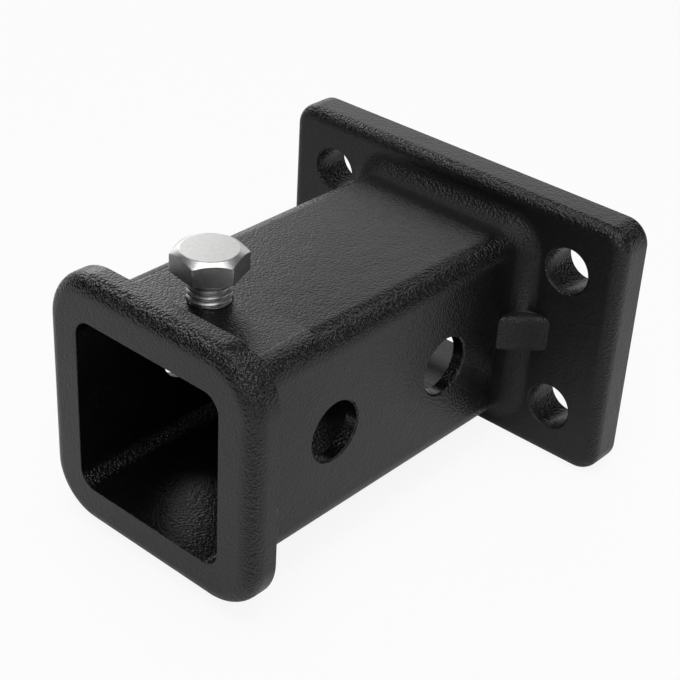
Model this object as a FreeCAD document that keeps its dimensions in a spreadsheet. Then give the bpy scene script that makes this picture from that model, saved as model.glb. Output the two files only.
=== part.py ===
import FreeCAD, Part
import math
import os
import Sketcher

# Bolt-on receiver tube: a one-piece casting with a square socket for a hitch shank, and the hex bolt
# that is screwed down through its roof to stop the shank from rattling.
# Millimetres. The origin is where the socket's axis meets the flange's mounting face, the mouth faces -Y
# and +Z is up.

doc = FreeCAD.newDocument("receiver_tube")

# Driving dimensions
SIZES = [
    ("body_length", 128, "mouth to mounting face"),
    ("bore_across", 51, "square socket, for a two-inch shank"),
    ("bore_corner_radius", 5, "socket corners"),
    ("tube_wall", 3.9, "wall of the tube"),
    ("tube_corner_radius", 7, "outer corners of the tube"),
    ("collar_across", 75, "collar at the mouth, square"),
    ("collar_depth", 9.5, "collar along the tube"),
    ("collar_corner_radius", 15.5, "outer corners of the collar"),
    ("collar_front_round", 5, "edge of the collar towards the mouth"),
    ("collar_back_round", 1.2, "edge of the collar towards the flange"),
    ("collar_foot_round", 1.5, "cast fillet where the collar meets the tube"),
    ("mouth_bevel", 0.15, "edge of the socket at the mouth"),
    ("flange_width", 120, "flange, side to side"),
    ("flange_height", 78.5, "flange, bottom to top"),
    ("flange_thickness", 12, "flange"),
    ("flange_corner_radius", 7, "corners of the flange"),
    ("flange_front_round", 4, "edge of the flange towards the mouth"),
    ("flange_back_round", 1.2, "edge of the mounting face"),
    ("flange_hole_diameter", 13.5, "clearance for half-inch bolts"),
    ("flange_hole_span", 85.725, "flange holes, side to side"),
    ("flange_hole_rise", 44.45, "flange holes, bottom to top"),
    ("root_round", 5.8, "cast fillet where the tube meets the flange"),
    ("gusset_reach", 9.9, "gusset along the tube"),
    ("gusset_spread", 10.4, "gusset out along the flange"),
    ("gusset_height", 11.5, "gusset, bottom to top"),
    ("gusset_round", 2.2, "edges of the gusset"),
    ("pin_hole_diameter", 17, "clearance for the hitch pin"),
    ("pin_hole_from_mouth", 38.1, "mouth to the first pin hole"),
    ("pin_hole_spacing", 44.45, "first pin hole to the second"),
    ("hole_bevel", 0.5, "edges of the pin holes and flange holes"),
    ("bevel_angle", 45, "slope of the flange holes' bevels, degrees"),
    ("step_length", 23.3, "thicker roof behind the collar, along the tube"),
    ("step_rise", 0.5, "thicker roof above the tube's top"),
    ("bolt_from_mouth", 26.25, "mouth to the bolt's axis"),
    ("bolt_left", 4.5, "bolt's axis left of the socket's axis"),
    ("thread_diameter", 12, "bolt thread"),
    ("thread_clearance", 0.06, "play round the thread, each side"),
    ("shank_length", 11.6, "bolt under its head"),
    ("tip_chamfer", 1.2, "point of the bolt"),
    ("tip_recess", 0.1, "bolt tip above the socket's roof when backed out"),
    ("head_across_flats", 17.7, "hex head"),
    ("head_height", 6.4, "hex head over its washer face"),
    ("head_top_diameter", 15.3, "flat circle on the hex head"),
    ("washer_face_diameter", 16.6, "washer face under the head"),
    ("washer_face_height", 0.4, "washer face under the head"),
    ("head_turn", -9.7, "turn of the hex head, degrees"),
]
sheet = doc.addObject("Spreadsheet::Sheet", "sizes")
for row, (alias, size, note) in enumerate(SIZES, start=1):
    sheet.set(f"A{row}", note)
    sheet.set(f"B{row}", str(size))
    sheet.setAlias(f"B{row}", alias)
doc.recompute()

# Lengths that follow from the driving ones, as cell expressions
TUBE_HALF = "(sizes.bore_across / 2 + sizes.tube_wall)"
COLLAR_BACK = "(sizes.body_length - sizes.collar_depth)"
BOLT_PLACE = "(sizes.bolt_from_mouth - sizes.body_length)"
HEX_CORNER = "(sizes.head_across_flats / sqrt(3))"
TOUCH = 0.01


def value(expression):
    """The number that a cell expression gives."""
    return float(sheet.evalExpression(expression))


def new_sketch(body, name, role, offset=None):
    """A sketch on one of the body's own origin planes, lifted off it by a cell expression."""
    sketch = body.newObject("Sketcher::SketchObject", name)
    plane = [feature for feature in body.Origin.OriginFeatures if feature.Role == role]
    sketch.AttachmentSupport = [(plane[0], "")]
    sketch.MapMode = "FlatFace"
    if offset:
        sketch.setExpression("AttachmentOffset.Base.z", offset)
    return sketch


def dimension(sketch, kind, where, name, expression):
    """A named dimension of a sketch that follows a cell expression."""
    number = sketch.addConstraint(Sketcher.Constraint(kind, *where, value(expression)))
    sketch.renameConstraint(number, name)
    sketch.setExpression(f"Constraints.{name}", expression)


def polygon(sketch, points):
    """Straight sides through the points, with the level and upright ones held so."""
    count = len(points)
    for number, start in enumerate(points):
        end = points[(number + 1) % count]
        sketch.addGeometry(Part.LineSegment(FreeCAD.Vector(*start, 0), FreeCAD.Vector(*end, 0)), False)
        if abs(start[1] - end[1]) < TOUCH:
            sketch.addConstraint(Sketcher.Constraint("Horizontal", number))
        if abs(start[0] - end[0]) < TOUCH:
            sketch.addConstraint(Sketcher.Constraint("Vertical", number))
    for number in range(count):
        sketch.addConstraint(Sketcher.Constraint("Coincident", number, 2, (number + 1) % count, 1))


def rounded_rectangle(sketch, width, height, radius):
    """A rectangle with round corners about the sketch's origin; its sizes are cell expressions."""
    across, up, turn = value(width) / 2, value(height) / 2, value(radius)
    x, y = across - turn, up - turn
    sides = [((x, up), (-x, up)), ((-across, y), (-across, -y)),
             ((-x, -up), (x, -up)), ((across, -y), (across, y))]
    centres = [(-x, y), (-x, -y), (x, -y), (x, y)]
    for number, (start, end) in enumerate(sides):
        sketch.addGeometry(Part.LineSegment(FreeCAD.Vector(*start, 0), FreeCAD.Vector(*end, 0)), False)
        circle = Part.Circle(FreeCAD.Vector(*centres[number], 0), FreeCAD.Vector(0, 0, 1), turn)
        begin = math.pi / 2 * (number + 1)
        sketch.addGeometry(Part.ArcOfCircle(circle, begin, begin + math.pi / 2), False)
    for number in range(4):
        side, arc, following = 2 * number, 2 * number + 1, (2 * number + 2) % 8
        sketch.addConstraint(Sketcher.Constraint("Vertical" if number % 2 else "Horizontal", side))
        sketch.addConstraint(Sketcher.Constraint("Tangent", side, 2, arc, 1))
        sketch.addConstraint(Sketcher.Constraint("Tangent", arc, 2, following, 1))
        if number:
            sketch.addConstraint(Sketcher.Constraint("Equal", 1, arc))
    sketch.addConstraint(Sketcher.Constraint("Symmetric", 1, 3, 5, 3, -1, 1))
    dimension(sketch, "DistanceX", (2, 1, 6, 1), "width", width)
    dimension(sketch, "DistanceY", (4, 1, 0, 1), "height", height)
    dimension(sketch, "Radius", (1,), "corner", radius)


def circle_at(sketch, number, right, up, diameter):
    """A circle whose centre lies right and up from the sketch's origin; a None keeps it on the axis."""
    centre = [value(right) if right else 0, value(up) if up else 0]
    round_line = Part.Circle(FreeCAD.Vector(*centre, 0), FreeCAD.Vector(0, 0, 1), value(diameter) / 2)
    sketch.addGeometry(round_line, False)
    for kind, place, length, axis in (("DistanceX", right, centre[0], -2), ("DistanceY", up, centre[1], -1)):
        if place is None:
            sketch.addConstraint(Sketcher.Constraint("PointOnObject", number, 3, axis))
        elif length < 0:
            dimension(sketch, kind, (number, 3, -1, 1), f"{kind}_{number}", f"-({place})")
        else:
            dimension(sketch, kind, (-1, 1, number, 3), f"{kind}_{number}", place)
    dimension(sketch, "Diameter", (number,), f"diameter_{number}", diameter)


def add_pad(body, name, sketch, length, side="One side"):
    """Material on one side of a sketch, or half of it on each side."""
    pad = body.newObject("PartDesign::Pad", name)
    pad.Profile = sketch
    pad.SideType = side
    pad.setExpression("Length", length)
    doc.recompute()


def cut(body, name, sketch, depth=None, side="One side", flip=False, taper=None):
    """A pocket, right through the body unless it has a depth; it has to take material away."""
    before = body.Shape.Volume
    pocket = body.newObject("PartDesign::Pocket", name)
    pocket.Profile = sketch
    pocket.SideType = side
    pocket.Reversed = flip
    if taper:
        pocket.setExpression("TaperAngle", taper)
    if depth:
        pocket.setExpression("Length", depth)
    else:
        pocket.Type = "ThroughAll"
        pocket.Type2 = "ThroughAll"
    doc.recompute()
    if body.Shape.Volume >= before - TOUCH:
        raise RuntimeError(f"{name} cuts nothing")
    return pocket


def dress_edges(body, name, size, test, kind="Fillet"):
    """A fillet or a bevel on the edges whose middle points pass the test."""
    chosen = []
    for number, edge in enumerate(body.Shape.Edges, start=1):
        first, last = edge.ParameterRange
        if test(edge.valueAt((first + last) / 2), edge):
            chosen.append(f"Edge{number}")
    if not chosen:
        raise RuntimeError(f"{name} finds no edge")
    carrier = body.Tip
    dressing = body.newObject(f"PartDesign::{kind}", name)
    dressing.Base = (carrier, chosen)
    dressing.setExpression("Radius" if kind == "Fillet" else "Size", size)
    doc.recompute()


def mirror_left(body, name, features):
    """The same features again on the left side."""
    mirror = body.newObject("PartDesign::Mirrored", name)
    plane = [item for item in body.Origin.OriginFeatures if item.Role == "YZ_Plane"]
    mirror.Originals = features
    mirror.MirrorPlane = (plane[0], [""])
    body.Tip = mirror
    doc.recompute()


def near(first, second):
    """Whether two lengths are the same, but for rounding."""
    return abs(first - second) < TOUCH


# Receiver body: the casting
receiver = doc.addObject("PartDesign::Body", "receiver_body")
receiver.Label = "receiver_body"

tube_half = value(TUBE_HALF)
flange_front = -value("sizes.flange_thickness")
mouth = -value("sizes.body_length")
collar_back = -value(COLLAR_BACK)


def on_tube(point):
    """Whether a point lies on the tube's outline, seen along the tube."""
    return max(abs(point.x), abs(point.z)) < tube_half + TOUCH


# Flange, a plate with rounded edges
sketch = new_sketch(receiver, "flange_outline", "XZ_Plane")
rounded_rectangle(sketch, "sizes.flange_width", "sizes.flange_height", "sizes.flange_corner_radius")
add_pad(receiver, "flange", sketch, "sizes.flange_thickness")
dress_edges(receiver, "flange_front_edge", "sizes.flange_front_round", lambda p, e: near(p.y, flange_front))
dress_edges(receiver, "flange_back_edge", "sizes.flange_back_round", lambda p, e: near(p.y, 0))

# Tube, with the cast fillet at its root
sketch = new_sketch(receiver, "tube_outline", "XZ_Plane")
rounded_rectangle(sketch, f"2 * {TUBE_HALF}", f"2 * {TUBE_HALF}", "sizes.tube_corner_radius")
add_pad(receiver, "tube", sketch, "sizes.body_length - sizes.collar_depth / 2")
dress_edges(receiver, "tube_root", "sizes.root_round", lambda p, e: near(p.y, flange_front) and on_tube(p))

# Collar round the mouth
sketch = new_sketch(receiver, "collar_outline", "XZ_Plane", COLLAR_BACK)
rounded_rectangle(sketch, "sizes.collar_across", "sizes.collar_across", "sizes.collar_corner_radius")
add_pad(receiver, "collar", sketch, "sizes.collar_depth")
dress_edges(receiver, "collar_front_edge", "sizes.collar_front_round", lambda p, e: near(p.y, mouth))
dress_edges(receiver, "collar_back_edge", "sizes.collar_back_round",
            lambda p, e: near(p.y, collar_back) and not on_tube(p))
dress_edges(receiver, "collar_foot", "sizes.collar_foot_round",
            lambda p, e: near(p.y, collar_back) and on_tube(p))

# Thicker roof behind the collar, for the bolt's thread: the tube's own outline, lifted
sketch = new_sketch(receiver, "step_outline", "XZ_Plane", f"({COLLAR_BACK} - sizes.step_length)")
sketch.setExpression("AttachmentOffset.Base.y", "sizes.step_rise")
rounded_rectangle(sketch, f"2 * {TUBE_HALF}", f"2 * {TUBE_HALF}", "sizes.tube_corner_radius")
add_pad(receiver, "step", sketch, "sizes.step_length + sizes.collar_depth / 2")

# Gusset on each side at half height: one wedge right across the tube, whose middle the socket takes away
wedge = doc.addObject("PartDesign::Body", "gusset_wedge")
sketch = new_sketch(wedge, "wedge_outline", "XY_Plane")
SLANT = "(sizes.gusset_spread / sizes.gusset_reach)"
WEDGE_INNER = f"({TUBE_HALF} - sizes.tube_wall / 2)"
WEDGE_OUTER = f"({TUBE_HALF} + sizes.gusset_spread + sizes.flange_thickness / 2 * {SLANT})"
WEDGE_TOE = f"(sizes.flange_thickness + sizes.gusset_reach + sizes.tube_wall / 2 / {SLANT})"
inner, outer, toe = value(WEDGE_INNER), value(WEDGE_OUTER), -value(WEDGE_TOE)
heel = flange_front / 2
polygon(sketch, [(-inner, toe), (inner, toe), (outer, heel), (-outer, heel)])
dimension(sketch, "DistanceX", (0, 1, -1, 1), "inner_left", WEDGE_INNER)
dimension(sketch, "DistanceX", (-1, 1, 0, 2), "inner_right", WEDGE_INNER)
dimension(sketch, "DistanceX", (-1, 1, 2, 1), "outer_right", WEDGE_OUTER)
dimension(sketch, "DistanceX", (2, 2, -1, 1), "outer_left", WEDGE_OUTER)
dimension(sketch, "DistanceY", (0, 1, -1, 1), "toe", WEDGE_TOE)
dimension(sketch, "DistanceY", (2, 1, -1, 1), "heel", "sizes.flange_thickness / 2")
add_pad(wedge, "wedge", sketch, "sizes.gusset_height", "Symmetric")
wedge_side = value("sizes.gusset_height") / 2
dress_edges(wedge, "wedge_edges", "sizes.gusset_round",
            lambda p, e: toe + TOUCH < p.y < heel - TOUCH and near(abs(p.z), wedge_side))
joined = receiver.newObject("PartDesign::Boolean", "gussets")
joined.Type = "Fuse"
joined.setObjects([wedge])
doc.recompute()

# Socket, right through from the mouth to the mounting face
sketch = new_sketch(receiver, "socket_outline", "XZ_Plane")
rounded_rectangle(sketch, "sizes.bore_across", "sizes.bore_across", "sizes.bore_corner_radius")
cut(receiver, "socket", sketch, side="Two sides")
bore_half = value("sizes.bore_across") / 2
dress_edges(receiver, "mouth_edge", "sizes.mouth_bevel",
            lambda p, e: near(p.y, mouth) and max(abs(p.x), abs(p.z)) < bore_half + TOUCH, "Chamfer")

# Cross holes for the hitch pin, through both side walls
sketch = new_sketch(receiver, "pin_hole_places", "YZ_Plane")
first_pin = "(sizes.pin_hole_from_mouth - sizes.body_length)"
circle_at(sketch, 0, first_pin, None, "sizes.pin_hole_diameter")
circle_at(sketch, 1, f"({first_pin} + sizes.pin_hole_spacing)", None, "sizes.pin_hole_diameter")
cut(receiver, "pin_holes", sketch, side="Two sides")
dress_edges(receiver, "pin_hole_edges", "sizes.hole_bevel",
            lambda p, e: near(abs(p.x), tube_half) and isinstance(e.Curve, Part.Circle), "Chamfer")

# Four bolt holes in the flange
sketch = new_sketch(receiver, "flange_hole_places", "XZ_Plane")
half_span, half_rise = "sizes.flange_hole_span / 2", "sizes.flange_hole_rise / 2"
circle_at(sketch, 0, half_span, half_rise, "sizes.flange_hole_diameter")
circle_at(sketch, 1, half_span, f"-({half_rise})", "sizes.flange_hole_diameter")
holes = cut(receiver, "flange_holes_right", sketch, "sizes.flange_thickness + sizes.root_round", flip=True)
sketch = new_sketch(receiver, "flange_bevel_places", "XZ_Plane", "sizes.flange_thickness")
bevel_across = "sizes.flange_hole_diameter + 2 * sizes.hole_bevel"
circle_at(sketch, 0, half_span, half_rise, bevel_across)
circle_at(sketch, 1, half_span, f"-({half_rise})", bevel_across)
bevels = cut(receiver, "flange_bevels_right", sketch, "sizes.hole_bevel", taper="-sizes.bevel_angle")
mirror_left(receiver, "flange_holes_left", [holes, bevels])

# Threaded hole for the bolt, through the roof of the socket
sketch = new_sketch(receiver, "bolt_hole_place", "XY_Plane")
circle_at(sketch, 0, "-sizes.bolt_left", BOLT_PLACE, "sizes.thread_diameter + 2 * sizes.thread_clearance")
cut(receiver, "bolt_hole", sketch, flip=True)

# Anti-rattle bolt: turned blank about its own axis, with the underside of its head at the blank's origin
bolt = doc.addObject("PartDesign::Body", "anti_rattle_bolt")
bolt.Label = "anti_rattle_bolt"
sketch = new_sketch(bolt, "blank_profile", "XZ_Plane")
radius = value("sizes.thread_diameter") / 2
length = value("sizes.shank_length")
point = value("sizes.tip_chamfer")
washer = value("sizes.washer_face_diameter") / 2
corner = value(HEX_CORNER)
face = value("sizes.washer_face_height")
top = face + value("sizes.head_height")
flat = value("sizes.head_top_diameter") / 2
SLOPE = "tan(30)"
shoulder = top - (corner - flat) * value(SLOPE)
polygon(sketch, [(0, -length), (radius - point, -length), (radius, point - length), (radius, 0), (washer, 0),
                 (washer, face), (corner, face), (corner, shoulder), (flat, top), (0, top)])
sketch.addConstraint(Sketcher.Constraint("PointOnObject", 0, 1, -2))
dimension(sketch, "DistanceY", (0, 1, -1, 1), "shank_length", "sizes.shank_length")
dimension(sketch, "DistanceX", (1, 1, 1, 2), "tip_run", "sizes.tip_chamfer")
dimension(sketch, "DistanceY", (1, 1, 1, 2), "tip_rise", "sizes.tip_chamfer")
dimension(sketch, "DistanceX", (-1, 1, 2, 2), "thread_radius", "sizes.thread_diameter / 2")
sketch.addConstraint(Sketcher.Constraint("PointOnObject", 2, 2, -1))
dimension(sketch, "DistanceX", (-1, 1, 4, 1), "washer_radius", "sizes.washer_face_diameter / 2")
dimension(sketch, "DistanceY", (4, 1, 4, 2), "washer_height", "sizes.washer_face_height")
dimension(sketch, "DistanceX", (-1, 1, 6, 1), "corner_radius", HEX_CORNER)
dimension(sketch, "DistanceY", (7, 1, 7, 2), "chamfer_drop",
          f"({HEX_CORNER} - sizes.head_top_diameter / 2) * {SLOPE}")
dimension(sketch, "DistanceX", (-1, 1, 8, 1), "top_radius", "sizes.head_top_diameter / 2")
dimension(sketch, "DistanceY", (6, 1, 8, 1), "head_height", "sizes.head_height")
blank = bolt.newObject("PartDesign::Revolution", "blank")
blank.Profile = sketch
blank.ReferenceAxis = (sketch, ["V_Axis"])
blank.Angle = 360
doc.recompute()

# Six flats, cut from the round blank
sketch = new_sketch(bolt, "flats_outline", "XY_Plane", "sizes.washer_face_height")
SIDES = 6
for number in range(SIDES):
    ends = []
    for step in (number, number + 1):
        turn = FreeCAD.Rotation(FreeCAD.Vector(0, 0, 1), 360 / SIDES * step)
        ends.append(turn.multVec(FreeCAD.Vector(corner, 0, 0)))
    sketch.addGeometry(Part.LineSegment(*ends), False)
for radius_now, helper in ((corner, True), (2 * corner, False)):
    sketch.addGeometry(Part.Circle(FreeCAD.Vector(), FreeCAD.Vector(0, 0, 1), radius_now), helper)
for number in range(SIDES):
    sketch.addConstraint(Sketcher.Constraint("Coincident", number, 2, (number + 1) % SIDES, 1))
    sketch.addConstraint(Sketcher.Constraint("PointOnObject", number, 1, SIDES))
    if number:
        sketch.addConstraint(Sketcher.Constraint("Equal", 0, number))
for helper in (SIDES, SIDES + 1):
    sketch.addConstraint(Sketcher.Constraint("Coincident", helper, 3, -1, 1))
sketch.addConstraint(Sketcher.Constraint("PointOnObject", 0, 1, -1))
dimension(sketch, "Radius", (SIDES,), "corner_circle", HEX_CORNER)
dimension(sketch, "Radius", (SIDES + 1,), "cutter", f"2 * {HEX_CORNER}")
cut(bolt, "flats", sketch, flip=True)

# The bolt stands in its hole, backed out until its tip clears the socket
head_turn = FreeCAD.Rotation(FreeCAD.Vector(0, 0, 1), value("sizes.head_turn"))
bolt.Placement = FreeCAD.Placement(FreeCAD.Vector(), head_turn)
bolt.setExpression("Placement.Rotation.Angle", "sizes.head_turn")
bolt.setExpression("Placement.Base.x", "-sizes.bolt_left")
bolt.setExpression("Placement.Base.y", BOLT_PLACE)
bolt.setExpression("Placement.Base.z", "sizes.bore_across / 2 + sizes.tip_recess + sizes.shank_length")
doc.recompute()

# Every object has to be sound before anything is written
for item in doc.Objects:
    if "Invalid" in item.State or "Error" in item.State:
        raise RuntimeError(f"{item.Name} failed: {item.State}")
os.makedirs("parts", exist_ok=True)
for body in (receiver, bolt):
    if body.Shape.isNull() or not body.Shape.isValid() or len(body.Shape.Solids) != 1:
        raise RuntimeError(f"{body.Label} isn't one sound solid")
    body.Shape.exportStep(f"parts/{body.Label}.step")
    print(body.Label, round(body.Shape.Volume), "mm3", body.Shape.optimalBoundingBox())
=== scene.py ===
"""A bolt-on receiver tube: a black powder-coated casting with a zinc-plated hex bolt through its roof."""
import math
import bpy
from mathutils import Matrix, Vector


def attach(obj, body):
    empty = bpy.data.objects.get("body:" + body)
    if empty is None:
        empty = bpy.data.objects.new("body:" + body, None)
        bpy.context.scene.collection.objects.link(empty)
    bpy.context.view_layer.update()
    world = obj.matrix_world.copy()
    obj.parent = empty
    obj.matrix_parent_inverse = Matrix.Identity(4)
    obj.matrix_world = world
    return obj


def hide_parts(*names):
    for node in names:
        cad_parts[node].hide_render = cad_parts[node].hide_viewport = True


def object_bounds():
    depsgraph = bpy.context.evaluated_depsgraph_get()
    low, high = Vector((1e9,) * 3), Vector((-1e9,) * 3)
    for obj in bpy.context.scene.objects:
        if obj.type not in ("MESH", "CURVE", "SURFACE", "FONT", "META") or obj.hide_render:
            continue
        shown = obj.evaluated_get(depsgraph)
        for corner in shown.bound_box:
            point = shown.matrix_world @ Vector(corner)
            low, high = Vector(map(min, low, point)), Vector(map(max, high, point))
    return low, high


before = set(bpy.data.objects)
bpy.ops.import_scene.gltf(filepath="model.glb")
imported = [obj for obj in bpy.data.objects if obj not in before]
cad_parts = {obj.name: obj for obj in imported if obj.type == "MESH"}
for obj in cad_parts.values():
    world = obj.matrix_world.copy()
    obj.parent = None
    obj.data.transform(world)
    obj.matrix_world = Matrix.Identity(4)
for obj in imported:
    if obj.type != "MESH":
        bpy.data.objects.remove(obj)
cad_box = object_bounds()
bpy.context.scene.view_settings.view_transform = "Standard"


# The casting: socket tube, mouth collar and bolt flange poured in one piece of iron, shot-blasted and given a
# thick black powder coat. Its grit stands out where an edge turns through the light, and there its crests
# carry
# painted glints: a lighter colour standing in for the sparkle of light. In the inside corner at the flange's
# root, where less powder reaches, the coat is calmer and matter, with fewer painted glints.
WELD = 1e-6
FLAT = math.radians(0.3)
CREASE = math.radians(28)
COAT_PIT = (0.003, 0.003, 0.0031, 1)
# crest colour: the coat's speckle tone on flats, and a painted glint where round edges raise its share
COAT_SPECKLE_AND_GLINT = (0.012, 0.012, 0.0124, 1)
COAT_MIRROR = 0.4
COAT_ROUGHNESS = 0.21
ROUGHNESS_DRIFT = 0.1
EDGE_POLISH = 0.07
EDGE_GAIN = 6
GRIT_PER_METRE = 1350
GRIT_SMOOTHNESS = 0.5
GRIT_DEPTH = 0.0004
GRIT_ON_FLATS = 0.25
GRIT_ON_EDGES = 1.1
PIT_HEIGHT = 0.7
GRAIN_HEIGHT = 0.4
GRAIN_PER_METRE = 3000
WAVE_PER_METRE = 120
WAVE_DEPTH = 0.00008
NOISE_DETAIL = 2.0
CREST_START = 0.42
CREST_GAIN = 3.5
CREST_ON_FLATS = 0.5
ROOT_Y = -0.0155
ROOT_REACH = 0.009
ROOT_SHARE = 0.75
ROOT_CALM = 0.45
ROOT_MATT = 0.6


def apply_modifier(piece, kind, **settings):
    """Adds a modifier with its settings to the piece and applies it."""
    bpy.context.view_layer.objects.active = piece
    bpy.ops.object.modifier_add(type=kind)
    modifier = piece.modifiers[-1]
    for name, value in settings.items():
        setattr(modifier, name, value)
    bpy.ops.object.modifier_apply(modifier=modifier.name)


def start_from(node, name):
    """A copy of a solid's mesh as a new piece, its triangles joined and its round edges shaded smooth."""
    bpy.ops.object.select_all(action="DESELECT")
    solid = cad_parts[node]
    piece = bpy.data.objects.new(name, solid.data.copy())
    bpy.context.scene.collection.objects.link(piece)
    bpy.context.view_layer.objects.active = piece
    piece.select_set(True)
    bpy.ops.object.mode_set(mode="EDIT")
    bpy.ops.mesh.select_all(action="SELECT")
    bpy.ops.mesh.remove_doubles(threshold=WELD)
    bpy.ops.mesh.dissolve_limited(angle_limit=FLAT)
    bpy.ops.object.mode_set(mode="OBJECT")
    bpy.ops.object.shade_smooth_by_angle(angle=CREASE)
    apply_modifier(piece, "WEIGHTED_NORMAL", keep_sharp=True)
    return piece


class Socket:
    """A node's output, with arithmetic that adds Math nodes to its material."""

    def __init__(self, tree, output):
        self.tree = tree
        self.output = output

    def node(self, kind, settings=None, outlet=0, **inputs):
        """Adds a node with its settings and its inputs, each a value or another socket."""
        made = self.tree.nodes.new(kind)
        for name, value in (settings or {}).items():
            setattr(made, name, value)
        for name, value in inputs.items():
            key = int(name[1:]) if name[0] == "_" else name.replace("_", " ")
            if isinstance(value, Socket):
                self.tree.links.new(value.output, made.inputs[key])
            else:
                made.inputs[key].default_value = value
        return Socket(self.tree, made.outputs[outlet])

    def maths(self, operation, first, second):
        return self.node("ShaderNodeMath", {"operation": operation}, _0=first, _1=second)

    def __add__(self, other):
        return self.maths("ADD", self, other)

    __radd__ = __add__

    def __mul__(self, other):
        return self.maths("MULTIPLY", self, other)

    __rmul__ = __mul__

    def __sub__(self, other):
        return self.maths("SUBTRACT", self, other)

    def __rsub__(self, other):
        return self.maths("SUBTRACT", other, self)


def new_material(name):
    """A material with an empty node tree, its output node and its Object coordinates."""
    material = bpy.data.materials.new(name)
    material.use_nodes = True
    tree = material.node_tree
    tree.nodes.clear()
    output = tree.nodes.new("ShaderNodeOutputMaterial")
    place = Socket(tree, tree.nodes.new("ShaderNodeTexCoord").outputs["Object"])
    return material, output, place


coat, output, place = new_material("powder_coat")

# Where the surface is square to no axis, it is a round edge; the root's corner is found by its depth
facing = place.node("ShaderNodeTexCoord", outlet="Normal")
along = facing.node("ShaderNodeVectorMath", {"operation": "ABSOLUTE"}, _0=facing)
side, front, top = [along.node("ShaderNodeSeparateXYZ", outlet=axis, Vector=along) for axis in range(3)]
square = side.maths("MAXIMUM", side.maths("MAXIMUM", side, front), top)
depth = place.node("ShaderNodeSeparateXYZ", outlet=1, Vector=place)
from_root = depth.node("ShaderNodeMath", {"operation": "ABSOLUTE"}, _0=depth - ROOT_Y)
sheltered = from_root.maths("MAXIMUM", ROOT_SHARE - from_root * (1 / ROOT_REACH), 0.0)
edge = square.maths("MINIMUM", (1 - square) * EDGE_GAIN, 1.0) * (1 - sheltered * ROOT_CALM)

# The coat's pits and crests, a finer grain on them and a slow wave below them. The crests' lighter colour is
# the coat's random speckle on flats, and on round edges it is doubled as a painted glint.
pits = place.node("ShaderNodeTexVoronoi", {"feature": "SMOOTH_F1"}, Vector=place, Scale=GRIT_PER_METRE,
                  Smoothness=GRIT_SMOOTHNESS)
grain = place.node("ShaderNodeTexNoise", Vector=place, Scale=GRAIN_PER_METRE, Detail=NOISE_DETAIL)
drift = place.node("ShaderNodeTexNoise", Vector=place, Scale=WAVE_PER_METRE, Detail=NOISE_DETAIL)
crest = pits.maths("MINIMUM", pits.maths("MAXIMUM", (CREST_START - pits) * CREST_GAIN, 0.0), 1.0)
speckle_and_glint_share = edge * (1 - CREST_ON_FLATS) + CREST_ON_FLATS
# Crests are painted lighter: half strength on flats as the coat's speckle, full strength on round edges as
# painted glints
colour = place.node("ShaderNodeMix", {"data_type": "RGBA"}, outlet=2, _0=crest * speckle_and_glint_share,
                    _6=COAT_PIT, _7=COAT_SPECKLE_AND_GLINT)
wave = place.node("ShaderNodeBump", Strength=1.0, Distance=WAVE_DEPTH, Height=drift)
grit = ((1 - pits) * PIT_HEIGHT + grain * GRAIN_HEIGHT) * (edge * GRIT_ON_EDGES + GRIT_ON_FLATS)
bumped = place.node("ShaderNodeBump", Strength=1.0, Distance=GRIT_DEPTH, Height=grit, Normal=wave)
roughness = drift * ROUGHNESS_DRIFT + COAT_ROUGHNESS + sheltered * ROOT_MATT - edge * EDGE_POLISH
shader = place.node("ShaderNodeBsdfPrincipled", Base_Color=colour, Specular_IOR_Level=COAT_MIRROR,
                    Roughness=roughness, Normal=bumped)
coat.node_tree.links.new(shader.output, output.inputs["Surface"])

casting = start_from("receiver_body", "casting")
casting.data.materials.clear()
casting.data.materials.append(coat)
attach(casting, "receiver")
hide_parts("receiver_body")


# The anti-rattle bolt: a zinc-plated M12 hex bolt, its head turned and cut to six flats and its shank rolled
# with a coarse right-hand thread, screwed down through the roof until it presses on a shank in the socket.
BOLT_X = -0.0045
BOLT_Y = -0.10175
HEAD_SEAT = 0.0372
WASHER_FACE = 0.0004
WASHER_RADIUS = 0.0083
HEX_HEIGHT = 0.0064
HEX_SIDES = 6
HEX_STEP = math.radians(60)
ACROSS_FLATS = 0.0177
CORNER_RADIUS = ACROSS_FLATS / math.sqrt(3)
TOP_RADIUS = 0.00765
TOP_SLOPE = math.radians(30)
HEAD_TURN = math.radians(-9.7)
EDGE_SOFTNESS = 0.00024
EDGE_ANGLE = math.radians(18)
HEAD_CREASE = math.radians(24)
THREAD_RADIUS = 0.00596
THREAD_PITCH = 0.00175
THREAD_DEPTH = 0.0009
TOOTH_STEPS = 8
SPARE_TURNS = 3
TURNS_BELOW_TIP = 1.5
SHANK_LENGTH = 0.0116
TIP_CHAMFER = 0.0012
ROUND_STEPS = 96
LEVEL_ENOUGH = 0.9
ZINC_GREY = (0.46, 0.47, 0.47, 1)
ZINC_PALE = (0.7, 0.7, 0.68, 1)
ZINC_ROUGHNESS = 0.29
MOTTLE_ROUGHNESS = 0.16
MOTTLE_PER_METRE = 1100
MOTTLE_DETAIL = 4.0
FROST_PER_METRE = 2600
FROST_STRENGTH = 0.6
FROST_DEPTH = 0.000015


def turned(radius, low, high):
    """A round bar on the bolt's axis between two heights, ready for shaping in edit mode."""
    bpy.ops.object.select_all(action="DESELECT")
    bpy.ops.mesh.primitive_cylinder_add(vertices=ROUND_STEPS, radius=radius, depth=high - low,
                                        location=(BOLT_X, BOLT_Y, (low + high) / 2))
    bpy.ops.object.transform_apply(location=True)
    return bpy.context.object


def select_level(piece, height):
    """Selects the flat faces of a piece that lie at a height."""
    bpy.ops.object.mode_set(mode="EDIT")
    bpy.ops.mesh.select_mode(type="FACE")
    bpy.ops.mesh.select_all(action="DESELECT")
    bpy.ops.object.mode_set(mode="OBJECT")
    for polygon in piece.data.polygons:
        polygon.select = abs(polygon.center.z - height) < WELD and abs(polygon.normal.z) > LEVEL_ENOUGH
    bpy.ops.object.mode_set(mode="EDIT")


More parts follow.
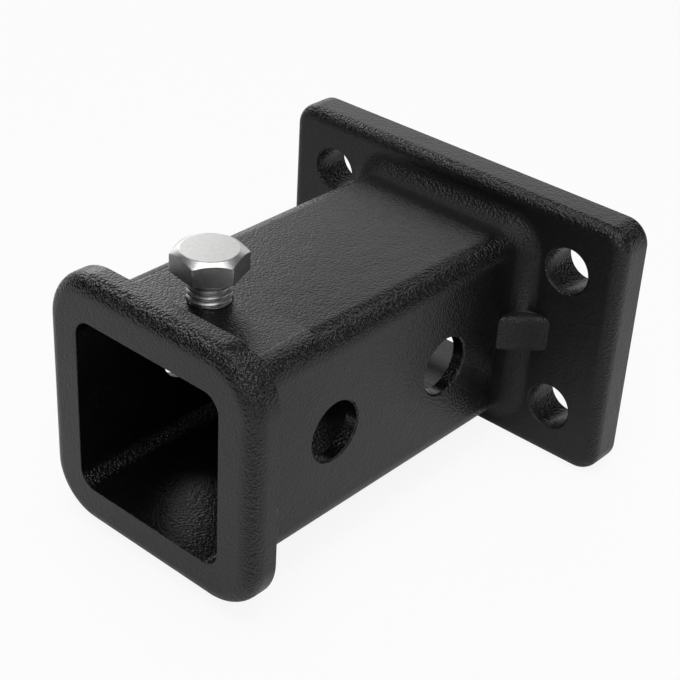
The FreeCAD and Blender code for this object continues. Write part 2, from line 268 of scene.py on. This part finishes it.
# The head is turned with its top chamfer, and then each flat is cut
hex_low = HEAD_SEAT + WASHER_FACE
hex_high = hex_low + HEX_HEIGHT
chamfer = (CORNER_RADIUS - TOP_RADIUS) * math.tan(TOP_SLOPE)
head = turned(CORNER_RADIUS, hex_low, hex_high - chamfer)
head.name = "hex_bolt"
select_level(head, hex_high - chamfer)
bpy.ops.mesh.extrude_region_move(TRANSFORM_OT_translate={"value": (0, 0, chamfer)})
shrink = TOP_RADIUS / CORNER_RADIUS
bpy.ops.transform.resize(value=(shrink, shrink, 1), center_override=(BOLT_X, BOLT_Y, hex_high))
for flat in range(HEX_SIDES):
    angle = HEAD_TURN + HEX_STEP * (flat + 0.5)
    out = Vector((math.cos(angle), math.sin(angle), 0))
    bpy.ops.mesh.select_all(action="SELECT")
    bpy.ops.mesh.bisect(plane_co=Vector((BOLT_X, BOLT_Y, hex_low)) + out * ACROSS_FLATS / 2, plane_no=out,
                        use_fill=True, clear_outer=True)
bpy.ops.object.mode_set(mode="OBJECT")
apply_modifier(head, "BEVEL", width=EDGE_SOFTNESS, segments=2, limit_method="ANGLE", angle_limit=EDGE_ANGLE)

washer_face = turned(WASHER_RADIUS, HEAD_SEAT, hex_low + WASHER_FACE)
apply_modifier(washer_face, "BEVEL", width=EDGE_SOFTNESS / 2, segments=2, limit_method="ANGLE")

bar = turned(THREAD_RADIUS, HEAD_SEAT - SHANK_LENGTH, HEAD_SEAT + WASHER_FACE)
select_level(bar, HEAD_SEAT - SHANK_LENGTH)
bpy.ops.mesh.bevel(offset=TIP_CHAMFER, offset_type="WIDTH", segments=1)
bpy.ops.object.mode_set(mode="OBJECT")

# One tooth's outline, wound up the shank by the screw and then trimmed to the bar's ends and tip chamfer
bpy.ops.object.select_all(action="DESELECT")
bpy.ops.mesh.primitive_circle_add(vertices=TOOTH_STEPS + 1, radius=THREAD_RADIUS)
thread = bpy.context.object
bpy.ops.object.mode_set(mode="EDIT")
bpy.ops.mesh.select_all(action="DESELECT")
bpy.ops.object.mode_set(mode="OBJECT")
for step, vertex in enumerate(thread.data.vertices):
    share = step / TOOTH_STEPS
    radius = THREAD_RADIUS - THREAD_DEPTH * (1 - math.sin(math.pi * share))
    vertex.co = (radius, 0, share * THREAD_PITCH)
closing = [line for line in thread.data.edges if set(line.vertices) == {0, TOOTH_STEPS}]
closing[0].select = True
bpy.ops.object.mode_set(mode="EDIT")
bpy.ops.mesh.delete(type="EDGE")
bpy.ops.object.mode_set(mode="OBJECT")
turns = math.ceil(SHANK_LENGTH / THREAD_PITCH) + SPARE_TURNS
apply_modifier(thread, "SCREW", angle=2 * math.pi, screw_offset=THREAD_PITCH, iterations=turns,
               steps=ROUND_STEPS, render_steps=ROUND_STEPS, use_merge_vertices=True, merge_threshold=WELD)
bpy.ops.object.mode_set(mode="EDIT")
bpy.ops.mesh.select_all(action="SELECT")
bpy.ops.mesh.remove_doubles(threshold=WELD)
thread_start = HEAD_SEAT - SHANK_LENGTH - TURNS_BELOW_TIP * THREAD_PITCH
bpy.ops.transform.translate(value=(BOLT_X, BOLT_Y, thread_start))
for height, up in ((HEAD_SEAT - SHANK_LENGTH, -1), (HEAD_SEAT + WASHER_FACE / 2, 1)):
    bpy.ops.mesh.select_all(action="SELECT")
    bpy.ops.mesh.bisect(plane_co=(BOLT_X, BOLT_Y, height), plane_no=(0, 0, up), use_fill=True,
                        clear_outer=True)
bpy.ops.mesh.select_all(action="SELECT")
bpy.ops.mesh.normals_make_consistent(inside=False)
bpy.ops.object.mode_set(mode="OBJECT")
apply_modifier(thread, "BOOLEAN", operation="INTERSECT", object=bar, solver="EXACT")
for joined in (washer_face, thread):
    apply_modifier(head, "BOOLEAN", operation="UNION", object=joined, solver="EXACT")
for tool in (washer_face, bar, thread):
    bpy.data.objects.remove(tool)
bpy.ops.object.select_all(action="DESELECT")
head.select_set(True)
bpy.context.view_layer.objects.active = head
bpy.ops.object.shade_smooth_by_angle(angle=HEAD_CREASE)
apply_modifier(head, "WEIGHTED_NORMAL", keep_sharp=True)

zinc, output, place = new_material("zinc_plate")
mottle = place.node("ShaderNodeTexNoise", Vector=place, Scale=MOTTLE_PER_METRE, Detail=MOTTLE_DETAIL)
frost = place.node("ShaderNodeTexNoise", Vector=place, Scale=FROST_PER_METRE, Detail=NOISE_DETAIL)
colour = place.node("ShaderNodeMix", {"data_type": "RGBA"}, outlet=2, _0=mottle, _6=ZINC_GREY, _7=ZINC_PALE)
frosted = place.node("ShaderNodeBump", Strength=FROST_STRENGTH, Distance=FROST_DEPTH, Height=frost)
shader = place.node("ShaderNodeBsdfPrincipled", Base_Color=colour, Metallic=1.0,
                    Roughness=mottle * MOTTLE_ROUGHNESS + ZINC_ROUGHNESS, Normal=frosted)
zinc.node_tree.links.new(shader.output, output.inputs["Surface"])
head.data.materials.clear()
head.data.materials.append(zinc)
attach(head, "bolt")
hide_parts("anti_rattle_bolt")


# The studio: a white paper floor that the object stands on, in a dim room that only the camera sees as white.
# A soft box overhead and a fill in front light the faces, and the coat and the zinc mirror three panels, one
# behind on the left, one on the left and one on the right.
FLOOR_HALF = 3.0
PAPER_WHITE = (0.85, 0.85, 0.85, 1)
FULL_WHITE = (1, 1, 1, 1)
WHITE_TO_CAMERA = 0.9
WHITE_TO_METAL = 0.1
ROOM_LEVEL = 0.04
OBJECT_CENTRE = Vector((0, -0.064, 0))
LAMPS = [
    ("overhead", (0.05, -0.12, 0.75), 0.5, 0.5, 3.2),
    ("back_panel", (-0.707, 0.643, 0.36), 1.7, 0.66, 3.55),
    ("left_panel", (-0.80, 0.34, 0.36), 0.45, 0.45, 1.3),
    ("front_fill", (0.38, -0.51, 0.61), 0.7, 0.7, 3.4),
    ("right_panel", (0.75, 0.6, 0.12), 1.0, 0.28, 0.75),
]

bpy.ops.object.select_all(action="DESELECT")
bpy.ops.mesh.primitive_plane_add(size=2 * FLOOR_HALF, location=(0, 0, cad_box[0].z))
floor = bpy.context.object
floor.name = "floor"
paper, output, place = new_material("paper")
straight, mirrored, through = [place.node("ShaderNodeLightPath", outlet=ray)
                               for ray in ("Is Camera Ray", "Is Glossy Ray", "Is Transmission Ray")]
seen = (straight + through) * WHITE_TO_CAMERA + mirrored * WHITE_TO_METAL
matt = place.node("ShaderNodeBsdfDiffuse", Color=PAPER_WHITE)
glow = place.node("ShaderNodeEmission", Color=FULL_WHITE, Strength=1.0)
mixed = place.node("ShaderNodeMixShader", _0=seen, _1=matt, _2=glow)
paper.node_tree.links.new(mixed.output, output.inputs["Surface"])
floor.data.materials.append(paper)

world = bpy.data.worlds.new("studio")
bpy.context.scene.world = world
world.use_nodes = True
background = world.node_tree.nodes["Background"]
background.inputs["Color"].default_value = FULL_WHITE
room = Socket(world.node_tree, background.outputs["Background"])
straight = room.node("ShaderNodeLightPath", outlet="Is Camera Ray")
level = straight * (1 - ROOM_LEVEL) + ROOM_LEVEL
world.node_tree.links.new(level.output, background.inputs["Strength"])

for name, stand, width, height, power in LAMPS:
    bpy.ops.object.light_add(type="AREA", location=stand)
    lamp = bpy.context.object
    lamp.name = name
    lamp.data.shape = "RECTANGLE"
    lamp.data.size = width
    lamp.data.size_y = height
    lamp.data.energy = power
    lamp.rotation_euler = (OBJECT_CENTRE - Vector(stand)).to_track_quat("-Z", "Y").to_euler()


# The camera, at the photograph's viewing angle: a long lens that looks down on the mouth, the roof and the
# right side, with its place and turn fitted to the object's edges.
CAMERA_PLACE = (0.246866, -0.347409, 0.234494)
CAMERA_RIGHT = Vector((0.742906, 0.667597, 0.049041))
CAMERA_UP = Vector((-0.381495, 0.362052, 0.850518))
CAMERA_BACK = Vector((0.550047, -0.650563, 0.523655))

bpy.ops.object.camera_add()
camera = bpy.context.object
camera.name = "camera"
camera.data.lens = 85.42
camera.data.sensor_width = 36.0
camera.data.clip_start = 0.01
turn = Matrix((CAMERA_RIGHT, CAMERA_UP, CAMERA_BACK)).transposed().to_4x4()
camera.matrix_world = Matrix.Translation(CAMERA_PLACE) @ turn
bpy.context.scene.camera = camera
